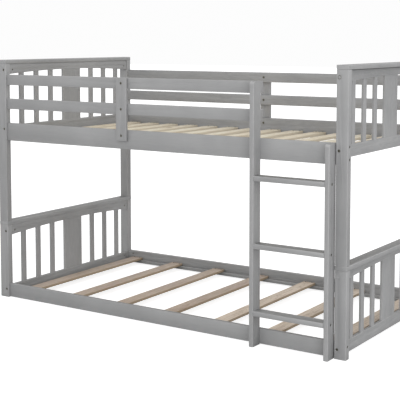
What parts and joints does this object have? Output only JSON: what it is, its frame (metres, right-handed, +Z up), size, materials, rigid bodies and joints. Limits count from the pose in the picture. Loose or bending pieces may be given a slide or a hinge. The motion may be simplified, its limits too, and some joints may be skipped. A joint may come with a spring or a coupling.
{
  "type": "bunk bed with ladder",
  "caption": "Low grey-painted wooden bunk bed: two stacked twin frames on slats, capped end frames with spindles, guard boards and a vertical ladder.",
  "frame": {"origin": "on the floor, under the middle of the whole footprint with the ladder", "axes": "+X along the bed towards the ladder end, +Y from the ladder side to the wall side, +Z up"},
  "size_m": [2.006, 1.1236, 1.25],
  "materials": {
    "grey_paint": "satin mid-grey paint over solid wood, faint brush and grain relief",
    "pine": "bare planed pine with knots, unsealed",
    "steel": "zinc-plated steel pin"
  },
  "bodies": {
    "root": {"back_guard_board_high": "grey_paint", "back_guard_board_low": "grey_paint", "back_guard_post": "grey_paint", "front_guard_board_high": "grey_paint", "front_guard_board_low": "grey_paint", "front_guard_post": "grey_paint", "ladder_left_rail": "grey_paint", "ladder_right_rail": "grey_paint", "ladder_rung_1": "grey_paint", "ladder_rung_2": "grey_paint", "ladder_rung_3": "grey_paint", "lower_back_left_post": "grey_paint", "lower_back_right_post": "grey_paint", "lower_back_side_rail": "grey_paint", "lower_back_slat_ledger": "grey_paint", "lower_front_left_post": "grey_paint", "lower_front_right_post": "grey_paint", "lower_front_side_rail": "grey_paint", "lower_front_slat_ledger": "grey_paint", "lower_left_end_cap": "grey_paint", "lower_left_end_frame": "grey_paint", "lower_right_end_cap": "grey_paint", "lower_right_end_frame": "grey_paint", "lower_slat_01": "pine", "lower_slat_02": "pine", "lower_slat_03": "pine", "lower_slat_04": "pine", "lower_slat_05": "pine", "lower_slat_06": "pine", "lower_slat_07": "pine", "stacking_pin_back_left": "steel", "stacking_pin_back_right": "steel", "stacking_pin_front_left": "steel", "stacking_pin_front_right": "steel", "upper_back_left_post": "grey_paint", "upper_back_right_post": "grey_paint", "upper_back_side_rail": "grey_paint", "upper_back_slat_ledger": "grey_paint", "upper_front_left_post": "grey_paint", "upper_front_right_post": "grey_paint", "upper_front_side_rail": "grey_paint", "upper_front_slat_ledger": "grey_paint", "upper_left_end_cap": "grey_paint", "upper_left_end_frame": "grey_paint", "upper_right_end_cap": "grey_paint", "upper_right_end_frame": "grey_paint", "upper_slat_01": "pine", "upper_slat_02": "pine", "upper_slat_03": "pine", "upper_slat_04": "pine", "upper_slat_05": "pine", "upper_slat_06": "pine", "upper_slat_07": "pine", "upper_slat_08": "pine", "upper_slat_09": "pine", "upper_slat_10": "pine", "upper_slat_11": "pine", "upper_slat_12": "pine", "upper_slat_13": "pine", "upper_slat_14": "pine"}
  },
  "joints": []
}
